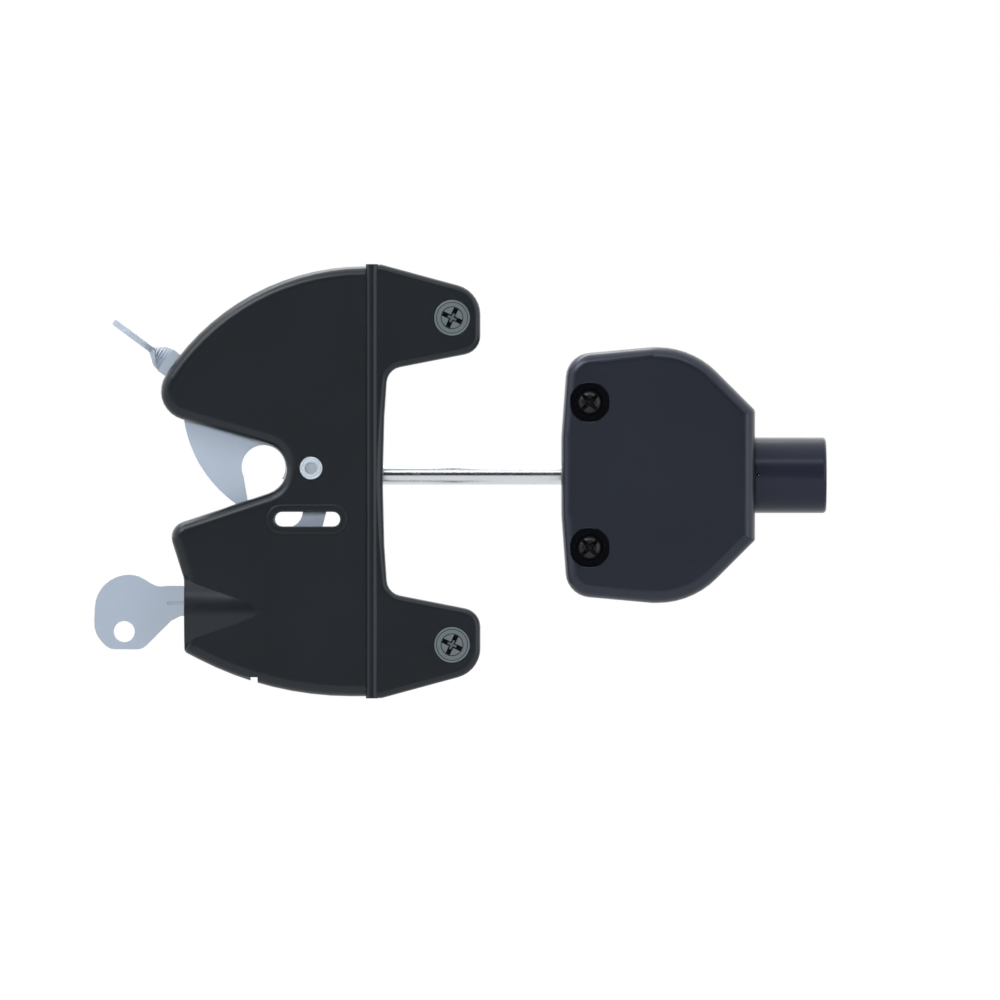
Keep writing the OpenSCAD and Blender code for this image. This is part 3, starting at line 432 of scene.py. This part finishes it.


# Pieces whose shape comes from the frame, with their facets smoothed. An edgeMm breaks all sharp edges.
# Only the edges in their boxes are broken under "broken" and stay crisp under "crisp", and the faces
# whose every corner is in one of the boxes of painted shade take a darker finish of their own, a painted
# shade. A box is x, y and z limits in mm.
softening = {"smoothDeg": 34, "flatDeg": 0.5, "edgeMm": 0, "cornerDeg": 40, "segments": 2}
softened = {
    "mounting_bracket": {"piece": "bracketPlate"},
    "front_casing": {
        "piece": "frontShell",
        # The top of the slot's raised border, and where the lock bulge leaves the flat front
        "broken": {"boxes": [((-34, -6.5), (-4.75, -4.65), (-20, -8))], "sharpDeg": 35, "widthMm": 0.6,
                   "segments": 3},
        "crisp": {"boxes": [((-58, -36), (-4.07, -3.93), (-55, -32))], "sharpDeg": 12},
    },
    "rear_casing": {"piece": "rearShell"},
    "button_housing": {
        "piece": "housingShell",
        # The rims and the walls of the two screw bores, whose walls take a painted shade
        "broken": {"boxes": mirroredBoxes((61, 75), (-9, -7), (16, 30)), "sharpDeg": 35, "widthMm": 0.35,
                   "segments": 3},
        "paintedShade": {"boxes": mirroredBoxes((61.8, 74.3), (-9, 3), (16.6, 28.8)), "finish": "painted_bore_shade"},
    },
    "rotor": {"piece": "rotorPlate", "smoothDeg": 64, "flatDeg": 0.01},
    "release_slide": {"piece": "slidePlate", "edgeMm": 0.25},
    "lock_bolt": {"piece": "boltPlate", "edgeMm": 0.20},
    "key": {"piece": "keyPlate", "edgeMm": 0.16},
    "push_rod": {"piece": "rodBar", "edgeMm": 0.50},
    "button_bush": {"piece": "bushRing", "edgeMm": 0.25},
    "push_button": {"piece": "buttonCap"},
    "pivot_pin": {"piece": "rivetTube", "edgeMm": 0.15},
    "housing_back_plate": {"piece": "backPlate", "edgeMm": 0.20},
    "lock_barrel": {"piece": "barrelBody"},
    "lock_plug": {"piece": "plugBody"},
}


# Edit mode with the sharp edges inside the boxes selected, and all else hidden
def editSharpEdges(piece, look):
    editVertices(piece, lambda vertex: within(vertex.co, look["boxes"]))
    bpy.ops.mesh.hide(unselected=True)
    bpy.ops.mesh.select_mode(type="EDGE")
    bpy.ops.mesh.select_all(action="DESELECT")
    bpy.ops.mesh.edges_select_sharp(sharpness=math.radians(look["sharpDeg"]))


def leaveEdges():
    bpy.ops.mesh.reveal(select=False)
    bpy.ops.mesh.select_mode(type="VERT")
    leaveEdit()


def breakEdges(piece, look):
    editSharpEdges(piece, look)
    bpy.ops.transform.edge_bevelweight(value=1)
    leaveEdges()
    applyModifier(piece, "BEVEL", width=look["widthMm"] * mm, segments=look["segments"],
                  limit_method="WEIGHT")


def keepCrisp(piece, look):
    editSharpEdges(piece, look)
    bpy.ops.mesh.mark_sharp()
    leaveEdges()


# Painted shade: the faces inside the boxes take the darker finish
def paintShadeOnFaces(piece, look):
    piece.data.materials.append(finishes[look["finish"]])
    corners = [v.co for v in piece.data.vertices]
    for face in piece.data.polygons:
        face.material_index = int(all(within(corners[index], look["boxes"]) for index in face.vertices))


def softenPiece(nodeName, look):
    piece = copyOf(nodeName, look["piece"])
    editAll()
    bpy.ops.mesh.dissolve_limited(angle_limit=math.radians(look["flatDeg"]))
    leaveEdit()
    if look["edgeMm"] > 0:
        applyModifier(piece, "BEVEL", width=look["edgeMm"] * mm, segments=look["segments"],
                      limit_method="ANGLE", angle_limit=math.radians(look["cornerDeg"]),
                      miter_outer="MITER_ARC")
    if "broken" in look:
        breakEdges(piece, look["broken"])
    if "crisp" in look:
        keepCrisp(piece, look["crisp"])
    smoothOver(piece, look["smoothDeg"])
    applyModifier(piece, "WEIGHTED_NORMAL", mode="FACE_AREA", keep_sharp=True)
    standFor(piece, nodeName)
    if "paintedShade" in look:
        paintShadeOnFaces(piece, look["paintedShade"])


for nodeName, look in softened.items():
    softenPiece(nodeName, {**softening, **look})
print("softened pieces:", len(softened))


# The button's pin: a small hole at the front of its barrel, with the pin's round end in it
buttonPin = {"at": (120.9, -0.9, 0), "holeRadius": 0.65, "holeDepth": 1.6, "pinRadius": 0.5, "pinIn": 0.55,
             "sides": 24, "smoothDeg": 60}


def addButtonPin():
    x, y, z = buttonPin["at"]
    bpy.ops.object.select_all(action="DESELECT")
    bpy.ops.mesh.primitive_cylinder_add(vertices=buttonPin["sides"], radius=buttonPin["holeRadius"] * mm,
                                        depth=2 * buttonPin["holeDepth"] * mm, location=metres(x, y, z),
                                        rotation=radians(90, 0, 0))
    cut(bpy.data.objects["buttonCap"], bpy.context.object)
    bpy.ops.object.select_all(action="DESELECT")
    pinY = y + buttonPin["pinIn"] + buttonPin["pinRadius"]
    bpy.ops.mesh.primitive_uv_sphere_add(segments=buttonPin["sides"], ring_count=buttonPin["sides"] // 2,
                                         radius=buttonPin["pinRadius"] * mm, location=metres(x, pinY, z))
    bpy.ops.object.transform_apply()
    pin = bpy.context.object
    pin.name = "buttonPinEnd"
    smoothOver(pin, buttonPin["smoothDeg"])
    pin.data.materials.append(finishes["rivet_steel"])
    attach(pin, nodeBodies["push_button"])


addButtonPin()
print("button pin added")


# Coils: the frame's coarse wire, made round by subdivision
coils = {"rotor_spring": "rotorCoil", "button_spring": "buttonCoil"}
coilWire = {"levels": 2, "flatDeg": 60, "smoothDeg": 60}


def roundWire(nodeName, pieceName):
    piece = copyOf(nodeName, pieceName)
    flat = math.radians(coilWire["flatDeg"])
    editAll()
    bpy.ops.mesh.tris_convert_to_quads(face_threshold=flat, shape_threshold=flat)
    leaveEdit()
    applyModifier(piece, "SUBSURF", levels=coilWire["levels"], render_levels=coilWire["levels"])
    smoothOver(piece, coilWire["smoothDeg"])
    standFor(piece, nodeName)


# The button's coil takes a mesh of its own. The numbers for pressing it together with the button, against
# its end at the housing's back plate, are listed but not used
pressedCoil = {"joint": "button_press", "fixedEndX": 91.6, "movingEndX": 112.1, "axisY": 11, "stroke": 6.96}


def pressWithButton(piece):
    metres(pressedCoil["fixedEndX"], pressedCoil["axisY"], 0)
    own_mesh(piece)


for nodeName, pieceName in coils.items():
    roundWire(nodeName, pieceName)
pressWithButton(bpy.data.objects[coils["button_spring"]])
print("coils rounded:", len(coils))


# Screws: the head's stations are radius and height, the neck is radius and lower end, and the cross is
# width, reach and depth. Heights are measured from the head's top, and the thread ends at pointFrom.
smallFlatHead = {"head": [(2.3, 0.0), (2.7, -0.08), (2.8, -0.22), (1.25, -1.6)], "neck": (1.2, -1.9),
                 "core": 1.15, "crest": 1.5, "pitch": 1.1, "cross": (1.0, 5.2, 1.1)}
screws = {
    "flange_screws": {
        "piece": "flangeScrewPair", "facing": "front", "turn": -25,
        "head": [(3.3, 0.0), (3.55, 0.02), (3.8, 0.0), (4.75, 0.0), (4.95, 0.02), (5.2, 0.0),
                 (5.5, -0.10), (5.65, -0.36), (2.2, -3.15)],
        "neck": (2.2, -4.6), "core": 1.95, "crest": 2.5, "pitch": 2.0, "pointFrom": -25, "length": 32,
        "cross": (2.3, 10.0, 2.3),
    },
    "housing_screws": {
        "piece": "housingScrewPair", "facing": "front", "turn": -47,
        "head": [(1.9, 0.0), (3.1, -0.35), (3.85, -1.1), (4.1, -2.0), (4.1, -2.7), (1.95, -2.7)],
        "neck": (1.95, -7.1), "core": 1.75, "crest": 2.25, "pitch": 1.8, "pointFrom": -31, "length": 38,
        "cross": (1.9, 10.6, 2.2),
    },
    "casing_screws": {
        "piece": "casingScrewSet", "facing": "back", "turn": 20,
        "head": [(1.5, 0.0), (2.3, -0.35), (2.7, -1.0), (2.8, -1.7), (2.8, -2.0), (1.25, -2.0)],
        "neck": (1.2, -2.4), "core": 1.15, "crest": 1.5, "pitch": 1.2, "pointFrom": -13.4, "length": 14,
        "cross": (1.0, 5.2, 1.3),
    },
    "bracket_screws": {**smallFlatHead, "piece": "bracketScrewSet", "facing": "right", "turn": 30,
                       "pointFrom": -10.3, "length": 11},
    "back_plate_screws": {**smallFlatHead, "piece": "plateScrewSet", "facing": "left", "turn": 15,
                          "pointFrom": -9.3, "length": 10},
}
screwMaking = {"sides": 36, "threadSteps": 20, "neckTaper": 0.2, "tipRadius": 0.12, "crossTaper": 0.3,
               "wallMm": 0.01, "smoothDeg": 34}
# How a screw is turned, the axis it lies along, and the end of its box, low or high, where its head is
facings = {
    "front": {"turn": (90, 0, 0), "axis": 1, "end": 0},
    "back": {"turn": (-90, 0, 0), "axis": 1, "end": 1},
    "right": {"turn": (0, 90, 0), "axis": 0, "end": 1},
    "left": {"turn": (0, -90, 0), "axis": 0, "end": 0},
}


def turnedShape(stations):
    bpy.ops.object.select_all(action="DESELECT")
    radius, level = stations[0]
    bpy.ops.mesh.primitive_circle_add(vertices=screwMaking["sides"], radius=radius * mm, fill_type="NGON",
                                      location=metres(0, 0, level))
    piece = bpy.context.object
    bpy.ops.object.transform_apply()
    editAll()
    for nextRadius, nextLevel in stations[1:]:
        step = {"value": metres(0, 0, nextLevel - level)}
        grow = nextRadius / radius
        bpy.ops.mesh.extrude_region_move(TRANSFORM_OT_translate=step)
        bpy.ops.transform.resize(value=(grow, grow, 1), center_override=metres(0, 0, nextLevel))
        radius, level = nextRadius, nextLevel
    bpy.ops.mesh.select_all(action="SELECT")
    bpy.ops.mesh.normals_make_consistent(inside=False)
    leaveEdit()
    return piece


def crossCutter(width, reach, depth, turn):
    bpy.ops.object.select_all(action="DESELECT")
    bpy.ops.mesh.primitive_cube_add(size=1, location=(0, 0, 0))
    cutter = bpy.context.object
    cutter.scale = metres(reach, width, 2 * depth)
    cutter.rotation_euler = radians(0, 0, turn)
    bpy.ops.object.transform_apply()
    editVertices(cutter, lambda vertex: vertex.co.z < 0)
    taper = screwMaking["crossTaper"]
    bpy.ops.transform.resize(value=(taper, taper, 1), center_override=metres(0, 0, -depth))
    leaveEdit()
    return cutter


# The walls of the cross are the faces above its floor that face the screw's axis, wallMm or more from it,
# and they take a painted shade
def markCrossWalls(screw, depth):
    walls = screw.data.attributes.new("crossShadeFaces", "BOOLEAN", "FACE")
    for face in screw.data.polygons:
        outward = face.normal.x * face.center.x + face.normal.y * face.center.y
        inward = outward < -screwMaking["wallMm"] * mm
        walls.data[face.index].value = inward and face.center.z > -depth * mm


# Painted shade: the walls of the cross take the near-black finish
def paintShadeInCross(piece):
    piece.data.materials.append(finishes["painted_cross_shade"])
    walls = [int(flag.value) for flag in piece.data.attributes["crossShadeFaces"].data]
    piece.data.polygons.foreach_set("material_index", walls)


def screwThread(look, top):
    bpy.ops.object.select_all(action="DESELECT")
    bpy.ops.mesh.primitive_circle_add(vertices=3, radius=(look["crest"] - look["core"]) * mm,
                                      fill_type="NOTHING", location=metres(look["core"], 0, top),
                                      rotation=radians(90, 0, 0))
    piece = bpy.context.object
    bpy.ops.object.transform_apply()
    turns = int((top - look["pointFrom"]) / look["pitch"])
    steps = screwMaking["threadSteps"]
    applyModifier(piece, "SCREW", axis="Z", angle=2 * math.pi, screw_offset=-look["pitch"] * mm,
                  iterations=turns, steps=steps, render_steps=steps, use_merge_vertices=False)
    editAll()
    bpy.ops.mesh.fill_holes(sides=4)
    bpy.ops.mesh.normals_make_consistent(inside=False)
    leaveEdit()
    return piece


def wholeScrew(look):
    neckRadius, neckEnd = look["neck"]
    shank = [(neckRadius, neckEnd), (look["core"], neckEnd - screwMaking["neckTaper"]),
             (look["core"], look["pointFrom"]), (screwMaking["tipRadius"], -look["length"])]
    screw = turnedShape(look["head"] + shank)
    for quarter in (0, 90):
        cut(screw, crossCutter(*look["cross"], look["turn"] + quarter))
    markCrossWalls(screw, look["cross"][2])
    return joinAll([screw, screwThread(look, neckEnd - look["pitch"] / 2)], "screw")


def makeScrews(nodeName, look):
    screw = wholeScrew(look)
    facing = facings[look["facing"]]
    made = []
    for box in solidBoxes(nodeName):
        place = [(low + high) / 2 for low, high in zip(*box)]
        place[facing["axis"]] = box[facing["end"]][facing["axis"]]
        pick(screw)
        bpy.ops.object.duplicate()
        copy = bpy.context.object
        copy.rotation_euler = radians(*facing["turn"])
        copy.location = place
        bpy.ops.object.transform_apply()
        made.append(copy)
    bpy.data.objects.remove(screw)
    piece = joinAll(made, look["piece"])
    smoothOver(piece, screwMaking["smoothDeg"])
    standFor(piece, nodeName)
    paintShadeInCross(piece)


for nodeName, look in screws.items():
    makeScrews(nodeName, look)
print("screw sets made:", len(screws))


# Light: soft boxes round the object. A hidden one adds nothing to matt surfaces, or nothing to reflections.
softBoxes = {
    "key": {"at": (-0.75, -0.95, 0.95), "size": (0.8, 0.8), "power": 9},
    "brow": {"at": (0.0, -1.05, 1.00), "size": (1.5, 0.22), "power": 4.6, "hidden": "diffuse"},
    "chin": {"at": (0.0, -1.05, -1.00), "size": (1.5, 0.22), "power": 4.6, "hidden": "diffuse"},
    "face": {"at": (-0.10, -1.90, 0.15), "size": (0.3, 0.3), "power": 32, "hidden": "glossy"},
    "fill": {"at": (1.15, -1.05, 0.25), "size": (0.8, 1.1), "power": 5},
    "topStrip": {"at": (-0.35, 0.35, 1.05), "size": (1.2, 0.3), "power": 8},
    "low": {"at": (0.1, -0.55, -1.0), "size": (1.1, 0.6), "power": 2},
}


def addSoftBox(name, box):
    aim = Vector(metres(view["centreX"], 0, 0)) - Vector(box["at"])
    bpy.ops.object.light_add(type="AREA", location=box["at"],
                             rotation=aim.to_track_quat("-Z", "Y").to_euler())
    lamp = bpy.context.object
    lamp.name = name + "SoftBox"
    lamp.data.shape = "RECTANGLE"
    lamp.data.size, lamp.data.size_y = box["size"]
    lamp.data.energy = box["power"]
    if "hidden" in box:
        setattr(lamp, "visible_" + box["hidden"], False)


# The background: white to the eye, weak as light, and in reflections dark in front and bright behind
world = {"diffuse": 0.12, "gain": 2.2,
         "mirrored": [(0.0, 0.0), (0.05, 0.01), (0.16, 0.30), (0.32, 0.75), (0.60, 1.0)]}


def setWorld():
    sky = bpy.data.worlds.new("studio")
    bpy.context.scene.world = sky
    graph = Graph(sky)
    around = graph.node("TexCoord", out="Generated")
    frontToBack = graph.node("SeparateXYZ", {}, {0: around}, out="Y")
    depth = graph.node("MapRange", {}, {"Value": frontToBack, "From Min": -1.0})
    mirrored = graph.ramp(depth, world["mirrored"]) * world["gain"]

    def choose(mask, no, yes):
        return graph.node("Mix", {}, {0: mask, 2: no, 3: yes})

    strength = choose(graph.rays("Glossy"), world["diffuse"], mirrored)
    strength = choose(graph.rays("Transmission"), strength, 1.0)
    strength = choose(graph.rays("Camera"), strength, 1.0)
    background = graph.tree.nodes["Background"]
    graph.plug(background.inputs["Color"], (1, 1, 1, 1))
    graph.plug(background.inputs["Strength"], strength)


# The floor: white to the eye and in reflections, and pale and matt in the light that it sends back
floorLook = {"sizeM": 12, "at": (0, 2, -0.32), "base": (0.86, 0.86, 0.86), "rough": 0.9, "level": 0.1,
             "glow": 1.1}


def addFloor():
    bpy.ops.mesh.primitive_plane_add(size=floorLook["sizeM"], location=floorLook["at"])
    floor = bpy.context.object
    floor.name = "floor"
    coat = Coat("paleFloor")
    coat.finish(base=floorLook["base"], rough=floorLook["rough"], level=floorLook["level"])
    seen = coat.maths("MAXIMUM", coat.rays("Camera"), coat.rays("Glossy"))
    glow = coat.node("Emission", {}, {"Color": (1, 1, 1, 1), "Strength": floorLook["glow"]})
    matt = Wire(coat, coat.shader.outputs[0])
    mixed = coat.node("MixShader", {}, {0: seen, 1: matt, 2: glow})
    coat.plug(coat.tree.nodes["Material Output"].inputs["Surface"], mixed)
    floor.data.materials.append(coat.material)


setCamera()
for name, box in softBoxes.items():
    addSoftBox(name, box)
setWorld()
addFloor()
bpy.context.scene.view_settings.view_transform = "Standard"
print("camera, light and floor set")
